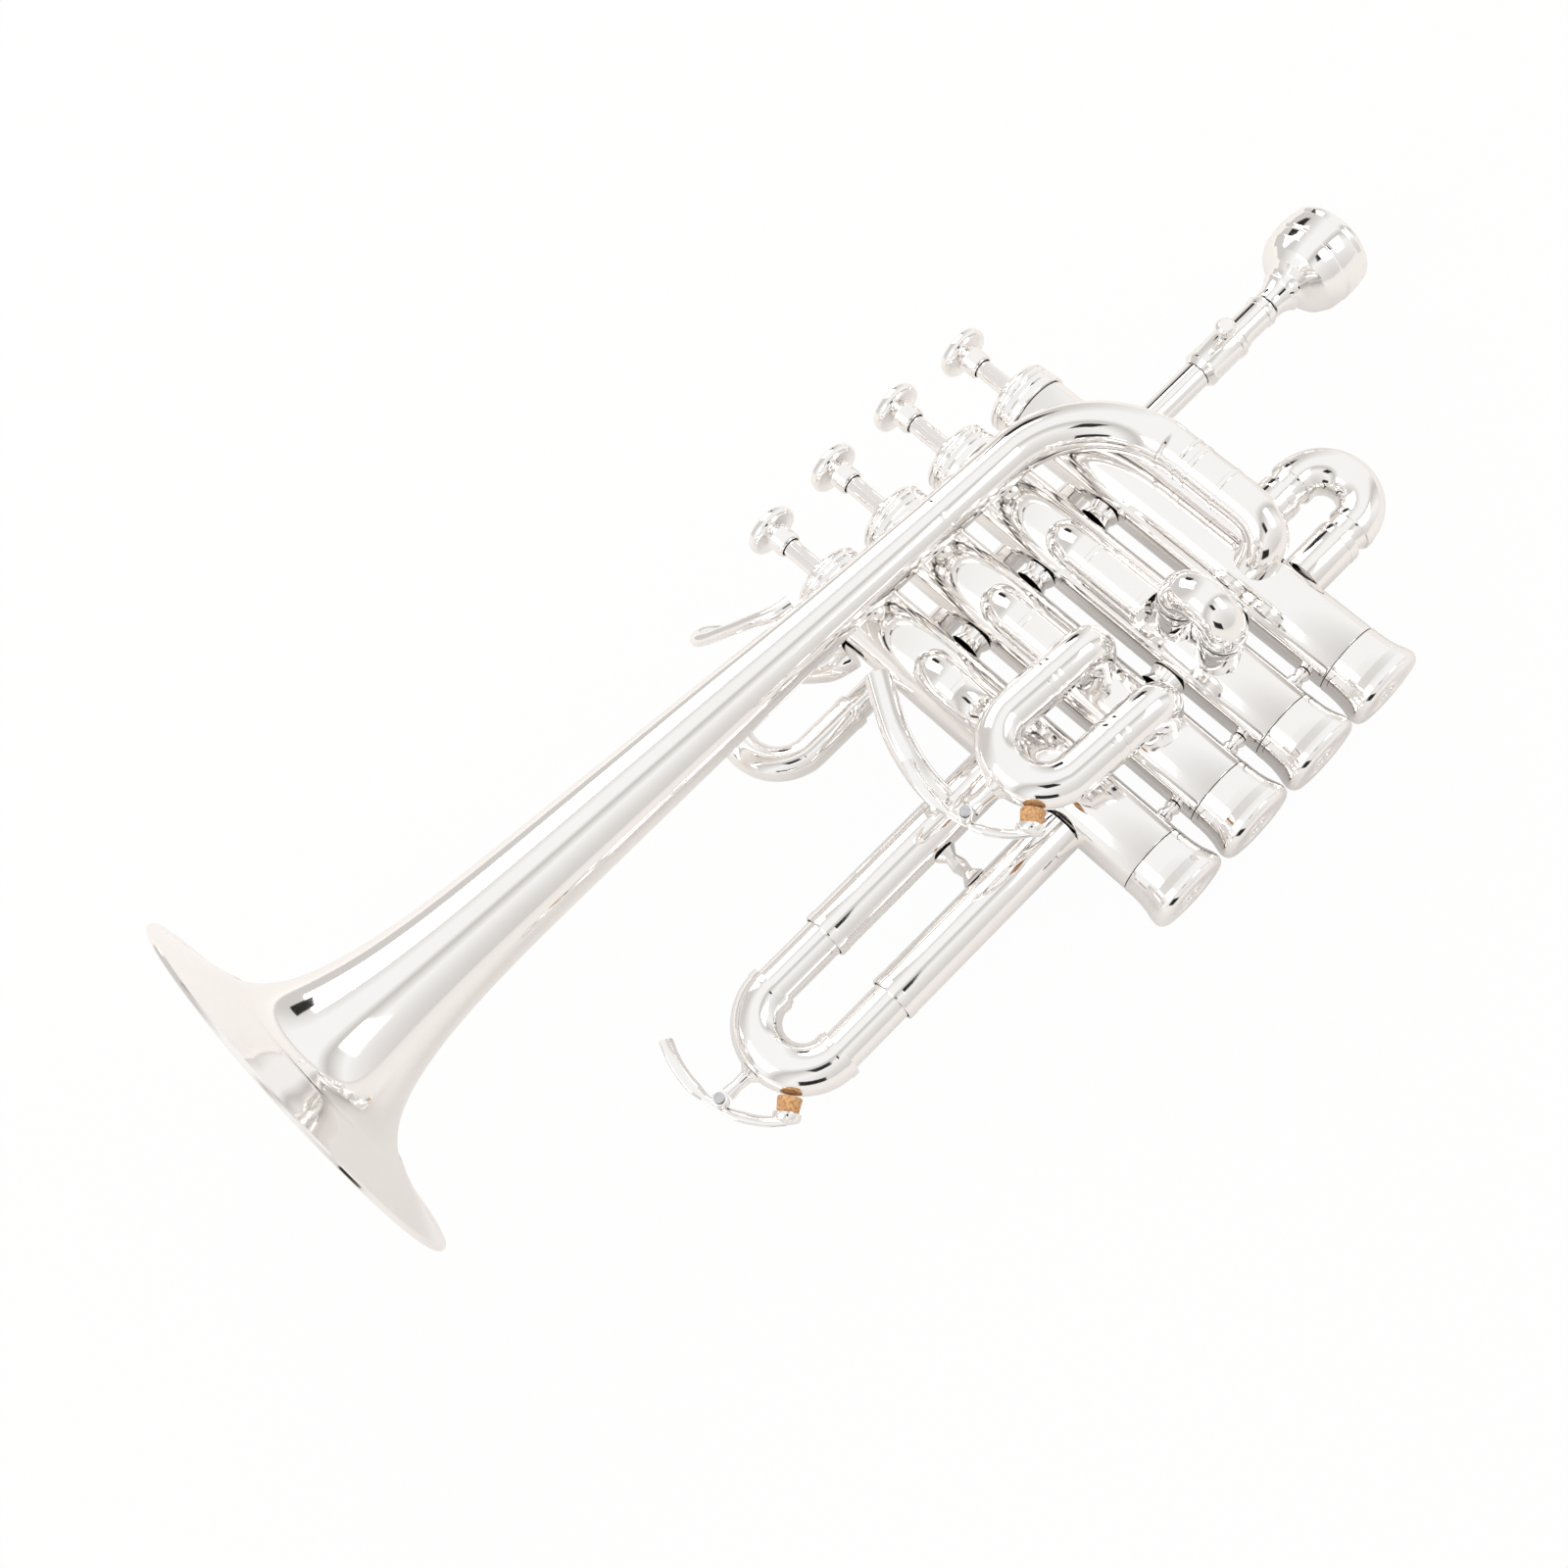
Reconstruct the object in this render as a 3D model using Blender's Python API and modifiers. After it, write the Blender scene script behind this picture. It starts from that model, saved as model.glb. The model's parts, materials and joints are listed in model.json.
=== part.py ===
# Piccolo trumpet with four piston valves.
# X runs towards the mouthpiece and Z up to the buttons. The player's left is -Y.
# Places below are measured from the first valve's axis, in millimetres. STAND_SHIFT then puts the
# origin under the middle of the object, on the plane of the bottom caps that it stands on.
import math

import bmesh
import bpy
from mathutils import Matrix, Vector

MM = 0.001
GAP = 0.3
STAND_SHIFT = (78.175, 16.8, 75.0)
WALL = 0.6
LEG_CLEARANCE = 0.5

# Valves
VALVES = 4
PITCH = 23.5
CASING_R = 9.5
BORE_R = CASING_R - 1.0
NECK_R = CASING_R - 0.5
CASING_TOP = 40.0
CASING_BOTTOM = -62.0
NECK_LENGTH = 4.0
LOWER_NECK = 8.0
CAP_R = CASING_R + 0.7
CAP_TOP = 49.3
CAP_DISC = 5.0
BASE_R = CASING_R + 1.5
BASE_Z = -75.0
BASE_FLOOR = 2.0
VENT_R = 2.15
PISTON_R = BORE_R - GAP - 0.1
PISTON_BOTTOM = -44.0
STEM_R = 2.5
STEM_HOLE_R = 2.9
FELT_HEIGHT = 2.1
BUTTON_R = 7.15
BUTTON_Z = 60.8
BUTTON_LIFTS = (-1.2, 0.6, 0.4, -0.5)
SPRING_R = PISTON_R - 1.7
SPRING_WIRE = 0.45
SPRING_TURNS = 6
STUD_PLACES = ((-57.0, 1.8), (-34.0, 5.0), (8.0, 4.4))

# Bell: distance from the rim along its axis, and outer radius
BELL_RIM = (-250.4, -16.8, 40.3)
BELL_DROP = 0.043
BELL_WALL = 0.8
BELL_PROFILE = (
    (0.0, 50.5), (1.2, 44.0), (4.4, 32.5), (8.8, 24.8), (15.4, 19.9), (25.4, 16.4), (39.4, 13.8),
    (60.4, 11.9), (98.4, 10.2), (130.0, 8.9), (165.0, 7.2), (205.0, 6.2),
)
BOW_R = 30.5
TAIL_X = 7.5
TAIL_TUBE_R = 5.75
TAIL_PORT_Z = -30.9

# Tubes between the valves and the slides
FRONT_TUBE_R = 5.2
FRONT_TUBE_Y = -15.3
FRONT_TUBE_SHIFT = -4.5
FRONT_TUBE_TOP = 6.5
FRONT_TUBE_ENDS = {2: -21.6, 3: -14.6, 4: -10.5}

# Slides
SLEEVE4_R = 6.2
SLIDE4_Z = (-18.8, -41.2)
SLIDE4_SLEEVE_END = -138.0
SLIDE4_FERRULE = -159.0
SLIDE4_LEG_START = -104.0
SLEEVE1_R = 6.0
SLIDE1_Z = (-21.5, -40.2)
SLIDE1_SLEEVE_END = 23.5
SLIDE1_BOW_X = 28.0
SLEEVE2_R = 5.5
SLIDE2_Z = (-27.5, -40.5)
SLIDE2_SLEEVE_END = -20.0
SLIDE2_BOW_Y = -23.0
SLEEVE3_R = 5.5
SLIDE3_Y = -27.0
SLIDE3_Z = (-21.1, -42.1)
SLIDE3_RISE = 0.066
SLIDE3_TURN_X = -52.0
SLIDE3_SLEEVE_END = -62.0
SLIDE3_BOW_X = -74.0
BOW_SWELL = 1.1

# Mouthpipe side
LEAD_R = 3.9
LEAD_Z = 21.5
LEAD_FRONT = -88.0
LEAD_REAR = 42.0
RECEIVER_R = 5.3
RECEIVER_END = 57.0
SHANK_R = 4.6
SHANK_TENON = 12.0
CUP_START = 70.0
CUP_R = 13.3
MOUTHPIECE_END = 97.0
CROOK_R = 4.5
CROOK_TURN = 12.0

TURN_STEPS = 16
SMALL_STEPS = 12
CURVE_RESOLUTION = 3


def clear_scene():
    for obj in list(bpy.data.objects):
        bpy.data.objects.remove(obj)


def new_collection(name):
    collection = bpy.data.collections.new(name)
    bpy.context.scene.collection.children.link(collection)
    return collection


def material(name, colour, roughness, metallic):
    made = bpy.data.materials.new(name)
    made.use_nodes = True
    shader = made.node_tree.nodes["Principled BSDF"]
    shader.inputs["Base Color"].default_value = (*colour, 1.0)
    shader.inputs["Roughness"].default_value = roughness
    shader.inputs["Metallic"].default_value = metallic
    return made


def finish(mesh, name, finish_material, collection):
    obj = bpy.data.objects.new(name, mesh)
    own = finish_material.copy()
    own.name = name + "_finish"
    mesh.materials.append(own)
    collection.objects.link(obj)
    return obj


def aim(obj, place, direction):
    turn = Vector((0, 0, 1)).rotation_difference(Vector(direction).normalized())
    obj.rotation_mode = "QUATERNION"
    obj.rotation_quaternion = turn
    obj.location = Vector(place) * MM
    return obj


# A profile is a list of radius and height, running down the outer side. A loop has a hollow inside.
def turned(name, profile, look, place=(0, 0, 0), direction=(0, 0, 1), steps=TURN_STEPS, loop=True):
    mesh = bpy.data.meshes.new(name)
    points = [(r * MM, 0.0, h * MM) for r, h in profile]
    edges = [(i, i + 1) for i in range(len(points) - 1)]
    if loop:
        edges.append((len(points) - 1, 0))
    mesh.from_pydata(points, edges, [])
    obj = finish(mesh, name, look, PARTS)
    spin = obj.modifiers.new("Turn", "SCREW")
    spin.steps = steps
    spin.render_steps = steps
    spin.use_merge_vertices = True
    spin.merge_threshold = 0.00001
    spin.use_smooth_shade = True
    return aim(obj, place, direction)


def pipe(name, start, end, outer, inner, look, steps=SMALL_STEPS):
    run = Vector(end) - Vector(start)
    length = run.length
    profile = [(outer, length), (outer, 0), (inner, 0), (inner, length)]
    return turned(name, profile, look, start, run, steps)


def curve_mesh(name, points, radius, swell=None, capped=True):
    curve = bpy.data.curves.new(name, "CURVE")
    curve.dimensions = "3D"
    curve.bevel_depth = radius * MM
    curve.bevel_resolution = CURVE_RESOLUTION
    curve.use_fill_caps = capped
    spline = curve.splines.new("POLY")
    spline.points.add(len(points) - 1)
    for i, point in enumerate(points):
        spline.points[i].co = (*(Vector(point) * MM), 1.0)
        spline.points[i].radius = swell[i] if swell else 1.0
    guide = bpy.data.objects.new(name + "_guide", curve)
    bpy.context.scene.collection.objects.link(guide)
    graph = bpy.context.evaluated_depsgraph_get()
    mesh = bpy.data.meshes.new_from_object(guide.evaluated_get(graph))
    bpy.data.objects.remove(guide)
    weld(mesh)
    return mesh


def weld(mesh):
    shape = bmesh.new()
    shape.from_mesh(mesh)
    bmesh.ops.remove_doubles(shape, verts=shape.verts, dist=0.000001)
    bmesh.ops.recalc_face_normals(shape, faces=shape.faces)
    shape.to_mesh(mesh)
    shape.free()
    mesh.shade_smooth()


def rod(name, points, radius, look, swell=None):
    return finish(curve_mesh(name, points, radius, swell), name, look, PARTS)


def bent_pipe(name, points, radius, look, swell=None):
    obj = finish(curve_mesh(name, points, radius, swell, capped=False), name, look, PARTS)
    wall = obj.modifiers.new("Wall", "SOLIDIFY")
    wall.thickness = WALL * MM
    wall.offset = -1
    return obj


def cylinder(name, start, end, radius, steps=TURN_STEPS):
    run = Vector(end) - Vector(start)
    mesh = bpy.data.meshes.new(name)
    shape = bmesh.new()
    turn = Vector((0, 0, 1)).rotation_difference(run.normalized()).to_matrix().to_4x4()
    middle = Matrix.Translation((Vector(start) + Vector(end)) / 2 * MM)
    bmesh.ops.create_cone(
        shape, cap_ends=True, segments=steps, radius1=radius * MM, radius2=radius * MM,
        depth=run.length * MM, matrix=middle @ turn,
    )
    shape.to_mesh(mesh)
    shape.free()
    return cutter_object(mesh, name)


def cutter_object(mesh, name):
    obj = bpy.data.objects.new(name, mesh)
    CUTTERS.objects.link(obj)
    obj.hide_render = True
    obj.display_type = "WIRE"
    return obj


def boolean(obj, other, operation):
    step = obj.modifiers.new(operation.title() + "_" + other.name, "BOOLEAN")
    step.operation = operation
    step.object = other
    step.solver = "EXACT"
    return obj


def valve_x(number):
    return -PITCH * (number - 1)


def arc(centre, radius, start, end, count, plane):
    made = []
    for i in range(count + 1):
        angle = math.radians(start + (end - start) * i / count)
        across = radius * math.cos(angle)
        up = radius * math.sin(angle)
        if plane == "xz":
            made.append((centre[0] + across, centre[1], centre[2] + up))
        else:
            made.append((centre[0], centre[1] + across, centre[2] + up))
    return made


def casing(number):
    neck_top = CASING_TOP + NECK_LENGTH
    neck_bottom = CASING_BOTTOM - LOWER_NECK
    profile = [
        (0, neck_top), (NECK_R, neck_top), (NECK_R, CASING_TOP), (CASING_R, CASING_TOP),
        (CASING_R, CASING_BOTTOM), (NECK_R, CASING_BOTTOM), (NECK_R, neck_bottom), (0, neck_bottom),
    ]
    x = valve_x(number)
    obj = turned(f"valve{number}_casing", profile, SILVER, (x, 0, 0), loop=False)
    if number < VALVES:
        for i, (z, radius) in enumerate(STUD_PLACES):
            stud = cylinder(f"stud{number}_{i}", (x, 0, z), (x - PITCH, 0, z), radius, SMALL_STEPS)
            boolean(obj, stud, "UNION")
    boolean(obj, BORES[number], "DIFFERENCE")
    if number < VALVES:
        boolean(obj, SADDLES[number + 1], "DIFFERENCE")


def bottom_cap(number):
    top = CASING_BOTTOM - GAP
    floor = BASE_Z + BASE_FLOOR
    inner = NECK_R + GAP
    profile = [
        (CASING_R + 0.4, top), (CASING_R + 0.4, top - 2.0), (BASE_R, BASE_Z + 5.0), (BASE_R, BASE_Z + 1.6),
        (BASE_R - 1.5, BASE_Z), (VENT_R, BASE_Z), (VENT_R, floor), (inner, floor), (inner, top),
    ]
    turned(f"valve{number}_bottom_cap", profile, SILVER, (valve_x(number), 0, 0))


def top_cap(number):
    under = CAP_TOP - CAP_DISC
    skirt = CASING_TOP + GAP
    inner = NECK_R + GAP
    profile = [
        (STEM_HOLE_R, CAP_TOP), (CAP_R - 2.5, CAP_TOP), (CAP_R - 0.3, CAP_TOP - 1.2), (CAP_R - 0.3, skirt + 2.5),
        (CAP_R, skirt + 2.0), (CAP_R, skirt), (inner, skirt), (inner, under), (STEM_HOLE_R, under),
    ]
    turned(f"valve{number}_top_cap", profile, SILVER, (valve_x(number), 0, 0))


def piston_top():
    return CAP_TOP - CAP_DISC - GAP - FELT_HEIGHT - GAP


def piston(number):
    top = piston_top()
    stem_top = BUTTON_Z + BUTTON_LIFTS[number - 1] + 3.5
    profile = [
        (0, stem_top), (STEM_R, stem_top), (STEM_R, top), (PISTON_R, top),
        (PISTON_R, PISTON_BOTTOM), (2.0, PISTON_BOTTOM), (2.0, PISTON_BOTTOM + 1.5),
        (PISTON_R - 1.0, PISTON_BOTTOM + 1.5), (PISTON_R - 1.0, top - 2.0), (0, top - 2.0),
    ]
    turned(f"valve{number}_piston", profile, SILVER, (valve_x(number), 0, 0), loop=False)


def felt(number):
    low = piston_top() + GAP
    profile = [(PISTON_R - 0.7, low + FELT_HEIGHT), (PISTON_R - 0.7, low), (STEM_HOLE_R, low), (STEM_HOLE_R, low + FELT_HEIGHT)]
    turned(f"valve{number}_felt", profile, FELT, (valve_x(number), 0, 0), steps=SMALL_STEPS)


def button(number):
    base = BUTTON_Z + BUTTON_LIFTS[number - 1]
    hole = STEM_R + GAP
    profile = [
        (0, base + 9.7), (3.6, base + 9.3), (6.0, base + 8.1), (BUTTON_R, base + 6.0), (6.6, base + 4.4),
        (4.4, base + 3.2), (3.7, base), (hole, base), (hole, base + 3.5 + GAP), (0, base + 3.5 + GAP),
    ]
    turned(f"valve{number}_button", profile, SILVER, (valve_x(number), 0, 0), loop=False)


def spring(number):
    low = BASE_Z + BASE_FLOOR + GAP + SPRING_WIRE
    high = PISTON_BOTTOM - GAP - SPRING_WIRE
    count = SPRING_TURNS * 6
    points = []
    for i in range(count + 1):
        angle = 2 * math.pi * i / 6
        points.append((
            valve_x(number) + SPRING_R * math.cos(angle), SPRING_R * math.sin(angle),
            low + (high - low) * i / count,
        ))
    curve = bpy.data.curves.new("spring", "CURVE")
    curve.dimensions = "3D"
    curve.bevel_depth = SPRING_WIRE * MM
    curve.bevel_resolution = 0
    curve.use_fill_caps = True
    spline = curve.splines.new("POLY")
    spline.points.add(count)
    for i, point in enumerate(points):
        spline.points[i].co = (*(Vector(point) * MM), 1.0)
    obj = bpy.data.objects.new(f"valve{number}_spring", curve)
    curve.materials.append(STEEL)
    PARTS.objects.link(obj)


def bell_axis():
    return Vector((1.0, 0.0, -BELL_DROP)).normalized()


def bell():
    mesh = bpy.data.meshes.new("bell")
    points = [(r * MM, 0.0, s * MM) for s, r in reversed(BELL_PROFILE)]
    mesh.from_pydata(points, [(i, i + 1) for i in range(len(points) - 1)], [])
    obj = finish(mesh, "bell", SILVER, PARTS)
    spin = obj.modifiers.new("Turn", "SCREW")
    spin.steps = TURN_STEPS + 4
    spin.render_steps = TURN_STEPS + 4
    spin.use_merge_vertices = True
    spin.merge_threshold = 0.00001
    spin.use_smooth_shade = True
    wall = obj.modifiers.new("Wall", "SOLIDIFY")
    wall.thickness = BELL_WALL * MM
    wall.offset = -1
    aim(obj, BELL_RIM, bell_axis())


def bell_end():
    return Vector(BELL_RIM) + bell_axis() * BELL_PROFILE[-1][0]


def bell_tail():
    end = bell_end() + bell_axis() * GAP
    y = BELL_RIM[1]
    top = end.z - (TAIL_X - BOW_R - end.x) * BELL_DROP
    centre = (TAIL_X - BOW_R, y, top - BOW_R)
    radius = BELL_PROFILE[-1][1]
    points = [tuple(end)] + arc(centre, BOW_R, 90, 0, 9, "xz")
    swell = [1.0] * (len(points) - 2) + [TAIL_TUBE_R / radius] * 2
    down = [
        (TAIL_X, y, -21.0), (TAIL_X - 0.4, y + 0.4, -25.5), (TAIL_X - 2.0, y + 1.9, -29.4),
        (TAIL_X - 4.1, y + 4.9, TAIL_PORT_Z), (TAIL_X - 6.0, y + 8.9, TAIL_PORT_Z), (TAIL_X - 6.8, y + 12.6, TAIL_PORT_Z),
    ]
    swell += [TAIL_TUBE_R / radius] * len(down)
    obj = bent_pipe("bell_tail", points + down, radius, SILVER, swell)
    boolean(obj, SADDLES[1], "DIFFERENCE")


def front_tube(number):
    port = valve_x(number)
    x = port + FRONT_TUBE_SHIFT
    y = FRONT_TUBE_Y
    top = FRONT_TUBE_TOP
    end = FRONT_TUBE_ENDS[number]
    points = [
        (port - 1.5, -5.0, top), (port - 2.4, -9.0, top), (port - 3.6, -12.4, top - 0.7),
        (x, y + 0.6, top - 4.0), (x, y, top - 8.0),
    ]
    if number == 4:
        points += [
            (x, y, end + 9.0), (x + 0.3, y + 0.6, end + 4.4), (x + 1.3, y + 2.9, end + 0.7),
            (x + 2.6, y + 6.3, end), (x + 3.0, y + 10.3, end),
        ]
    else:
        points.append((x, y, end))
    obj = bent_pipe(f"front_tube_{number}", points, FRONT_TUBE_R, SILVER)
    boolean(obj, SADDLES[number], "DIFFERENCE")


def leg_radius(sleeve_radius):
    return sleeve_radius - WALL - LEG_CLEARANCE + 0.15


def slide_bow(name, legs, swell_from, sleeve_radius):
    count = len(legs)
    thick = BOW_SWELL * sleeve_radius / leg_radius(sleeve_radius) * 0.91
    swell = [1.0 if i < swell_from or i >= count - swell_from else thick for i in range(count)]
    return bent_pipe(name, legs, leg_radius(sleeve_radius), SILVER, swell)


def slide_four():
    x = valve_x(4)
    upper, lower = SLIDE4_Z
    for label, z in (("upper", upper), ("lower", lower)):
        obj = pipe(f"slide4_{label}_sleeve", (x - 6.0, 0, z), (SLIDE4_SLEEVE_END, 0, z), SLEEVE4_R, SLEEVE4_R - 0.4, SILVER)
        boolean(obj, SADDLES[4], "DIFFERENCE")
    middle = (upper + lower) / 2
    radius = (upper - lower) / 2
    bend = arc((SLIDE4_FERRULE + 2.6, 0, middle), radius, 90, 270, 8, "xz")
    ends = [(SLIDE4_LEG_START, 0, upper), (SLIDE4_FERRULE + 3.4, 0, upper)]
    back = [(SLIDE4_FERRULE + 3.4, 0, lower), (SLIDE4_LEG_START, 0, lower)]
    bow = slide_bow("slide4_bow", ends + bend + back, 2, SLEEVE4_R)
    low = lower + SLEEVE4_R + GAP
    high = upper - SLEEVE4_R - GAP
    profile = [
        (0, high - low), (3.2, high - low), (1.6, high - low - 2.0), (2.2, (high - low) / 2),
        (1.6, 2.0), (3.2, 0), (0, 0),
    ]
    turned("slide4_brace", profile, SILVER, (-103.0, 0, low), steps=SMALL_STEPS, loop=False)
    water_key("slide4", bow, (SLIDE4_FERRULE + 2.6, 0, middle), radius + 6.2)


def slide_one():
    x = valve_x(1)
    upper, lower = SLIDE1_Z
    for label, z in (("upper", upper), ("lower", lower)):
        obj = pipe(f"slide1_{label}_sleeve", (x + 6.0, 0, z), (SLIDE1_SLEEVE_END, 0, z), SLEEVE1_R, SLEEVE1_R - 0.4, SILVER)
        boolean(obj, SADDLES[1], "DIFFERENCE")
    middle = (upper + lower) / 2
    radius = (upper - lower) / 2
    bend = arc((SLIDE1_BOW_X, 0, middle), radius, 90, -90, 8, "xz")
    ends = [(CASING_R + 1.5, 0, upper), (SLIDE1_SLEEVE_END + 1.0, 0, upper)]
    back = [(SLIDE1_SLEEVE_END + 1.0, 0, lower), (CASING_R + 1.5, 0, lower)]
    slide_bow("slide1_bow", ends + bend + back, 2, SLEEVE1_R)


def slide_two():
    x = valve_x(2)
    upper, lower = SLIDE2_Z
    for label, z in (("upper", upper), ("lower", lower)):
        obj = pipe(f"slide2_{label}_sleeve", (x, -6.0, z), (x, SLIDE2_SLEEVE_END, z), SLEEVE2_R, SLEEVE2_R - 0.4, SILVER)
        boolean(obj, SADDLES[2], "DIFFERENCE")
    middle = (upper + lower) / 2
    radius = (upper - lower) / 2
    bend = arc((x, SLIDE2_BOW_Y, middle), radius, 90, 270, 8, "yz")
    ends = [(x, -CASING_R - 1.5, upper), (x, SLIDE2_SLEEVE_END - 1.0, upper)]
    back = [(x, SLIDE2_SLEEVE_END - 1.0, lower), (x, -CASING_R - 1.5, lower)]
    slide_bow("slide2_bow", ends + bend + back, 2, SLEEVE2_R)


def slide_three():
    port = valve_x(3)
    upper, lower = SLIDE3_Z
    for label, z in (("upper", upper), ("lower", lower)):
        end_z = z + (port - SLIDE3_SLEEVE_END) * SLIDE3_RISE
        start_z = z + (port - SLIDE3_TURN_X) * SLIDE3_RISE
        points = [
            (port, -5.0, z), (port, -11.0, z), (port, -18.5, z), (port - 0.5, -22.0, z), (port - 2.2, -25.0, z),
            (SLIDE3_TURN_X, SLIDE3_Y, start_z), (SLIDE3_SLEEVE_END, SLIDE3_Y, end_z),
        ]
        obj = bent_pipe(f"slide3_{label}_sleeve", points, SLEEVE3_R, SILVER)
        obj.modifiers["Wall"].thickness = 0.4 * MM
        boolean(obj, SADDLES[3], "DIFFERENCE")
    run = Vector((-1.0, 0.0, SLIDE3_RISE)).normalized()
    middle_z = (upper + lower) / 2 + (port - SLIDE3_BOW_X) * SLIDE3_RISE
    middle = Vector((SLIDE3_BOW_X, SLIDE3_Y, middle_z))
    radius = (upper - lower) / 2
    side = Vector((SLIDE3_RISE, 0.0, 1.0)).normalized() * radius
    bend = []
    for i in range(9):
        angle = math.pi * i / 8
        bend.append(tuple(middle + side * math.cos(angle) + run * radius * math.sin(angle)))
    inner = abs(SLIDE3_BOW_X - SLIDE3_TURN_X) - 1.2
    ferrule = abs(SLIDE3_BOW_X - SLIDE3_SLEEVE_END) - 1.0
    ends = [tuple(middle + side - run * inner), tuple(middle + side - run * ferrule)]
    back = [tuple(middle - side - run * ferrule), tuple(middle - side - run * inner)]
    bow = slide_bow("slide3_bow", ends + bend + back, 2, SLEEVE3_R)
    water_key("slide3", bow, tuple(middle), radius + 5.5)


# The key's lever runs round the outside of the bow, from the cork below to the finger tip above.
def around(centre, angle, distance):
    turn = math.radians(angle)
    return Vector((centre[0] + distance * math.cos(turn), centre[1], centre[2] + distance * math.sin(turn)))


def water_key(name, bow, centre, bow_outer):
    cork_angle = 215.0
    pivot_angle = 178.0
    tip_angle = 141.0
    seat = bow_outer + 0.5
    cork_top = seat + 4.2
    cork_side = around(centre, cork_angle, seat)
    outward = around(centre, cork_angle, 1.0) - Vector(centre)
    profile = [(0, 4.2), (2.6, 4.2), (3.0, 0), (0, 0)]
    turned(f"{name}_key_cork", profile, CORK, cork_side, outward, SMALL_STEPS, loop=False)
    count = 9
    points = []
    for i in range(count + 1):
        part = i / count
        angle = cork_angle + (tip_angle - cork_angle) * part
        points.append(tuple(around(centre, angle, cork_top + GAP + 1.0 + 9.5 * part)))
    lever = rod(f"{name}_key_lever", points, 1.2, SILVER)
    pad = cylinder(
        f"{name}_pad", around(centre, cork_angle, cork_top + GAP), around(centre, cork_angle, cork_top + GAP + 1.6),
        3.3, SMALL_STEPS,
    )
    share = (pivot_angle - cork_angle) / (tip_angle - cork_angle)
    pivot = around(centre, pivot_angle, cork_top + GAP + 1.0 + 9.5 * share - 1.6)
    half = Vector((0, 2.6, 0))
    barrel = cylinder(f"{name}_barrel", pivot - half, pivot + half, 1.9, SMALL_STEPS)
    hole = cylinder(f"{name}_pin_hole", pivot - half * 2, pivot + half * 2, 0.95, SMALL_STEPS)
    boolean(lever, pad, "UNION")
    boolean(lever, barrel, "UNION")
    boolean(lever, hole, "DIFFERENCE")
    profile = [
        (0, 3.9), (1.3, 3.9), (1.3, 2.6 + GAP), (0.6, 2.6 + GAP), (0.6, -2.6 - GAP), (1.3, -2.6 - GAP),
        (1.3, -3.9), (0, -3.9),
    ]
    turned(f"{name}_key_screw", profile, STEEL, pivot, (0, 1, 0), SMALL_STEPS, loop=False)
    inward = (Vector(centre) - pivot).normalized()
    post = cylinder(
        f"{name}_post", around(centre, pivot_angle, bow_outer - 0.9), pivot + inward * (1.9 + GAP), 1.9, SMALL_STEPS,
    )
    boolean(bow, post, "UNION")


def lead_y():
    return CASING_R + GAP + LEAD_R


def mouthpipe():
    y = lead_y()
    bore = LEAD_R - WALL
    pipe("leadpipe", (LEAD_FRONT, y, LEAD_Z), (LEAD_REAR, y, LEAD_Z), LEAD_R, bore, SILVER)
    front = LEAD_FRONT - GAP
    centre = (front - 15.0, y, LEAD_Z + CROOK_TURN)
    points = [(front, y, LEAD_Z)] + arc(centre, CROOK_TURN, 270, 90, 9, "xz")
    top = LEAD_Z + 2 * CROOK_TURN
    points += [
        (front - 10.0, y, top), (front - 5.0, y - 0.5, top - 1.6), (front - 1.6, y - 2.4, top - 6.2),
        (-85.5, y - 5.2, top - 12.0), (-82.0, y - 8.8, top - 15.0), (-76.5, y - 12.0, top - 16.0),
    ]
    obj = bent_pipe("front_crook", points, CROOK_R, SILVER)
    boolean(obj, SADDLES[4], "DIFFERENCE")
    start = LEAD_REAR + GAP
    length = RECEIVER_END - start
    hole = SHANK_R - 0.9
    profile = [(RECEIVER_R, length), (RECEIVER_R, 1.0), (LEAD_R, 0), (hole, 0), (hole, length)]
    turned("receiver", profile, SILVER, (start, y, LEAD_Z), (1, 0, 0), SMALL_STEPS)
    knob_y = y - RECEIVER_R - GAP
    profile = [(0, 4.3), (2.4, 4.3), (2.8, 3.4), (2.8, 1.6), (1.4, 1.0), (1.4, 0), (0, 0)]
    turned("clamp_screw", profile, SILVER, (53.5, knob_y, LEAD_Z + 1.0), (0, -1, 0), SMALL_STEPS, loop=False)
    shank(y, hole - GAP)
    mouthpiece(y)


def shank(y, tenon):
    length = CUP_START - RECEIVER_END - 1.0
    bore = 2.9
    profile = [
        (SHANK_R - 0.3, length), (SHANK_R, length - 1.0), (SHANK_R, 0), (tenon, 0), (tenon, -SHANK_TENON),
        (bore, -SHANK_TENON), (bore, length),
    ]
    turned("mouthpiece_shank", profile, SILVER, (RECEIVER_END + GAP, y, LEAD_Z), (1, 0, 0), SMALL_STEPS)


def mouthpiece(y):
    length = MOUTHPIECE_END - CUP_START
    profile = [
        (8.6, length), (11.2, length), (12.9, length - 1.6), (CUP_R, length - 5.0), (CUP_R - 0.4, length - 11.0),
        (10.2, length - 15.5), (6.0, length - 20.0), (4.4, 2.0), (4.2, 0), (2.5, 0), (2.4, -8.0), (1.3, -8.0),
        (1.3, length - 13.5), (5.0, length - 11.0), (7.6, length - 6.5), (8.2, length - 1.2),
    ]
    turned("mouthpiece", profile, SILVER, (CUP_START, y, LEAD_Z), (1, 0, 0), TURN_STEPS)


def finger_hook():
    points = [
        (-86.0, -16.8, 42.6), (-90.5, -16.0, 43.9), (-95.0, -13.0, 47.6), (-99.0, -8.0, 52.0),
        (-103.0, -2.6, 56.6), (-104.5, 1.4, 60.0), (-101.5, 3.6, 60.6), (-97.0, 4.2, 57.2),
    ]
    rod("finger_hook", points, 1.9, SILVER)


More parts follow.
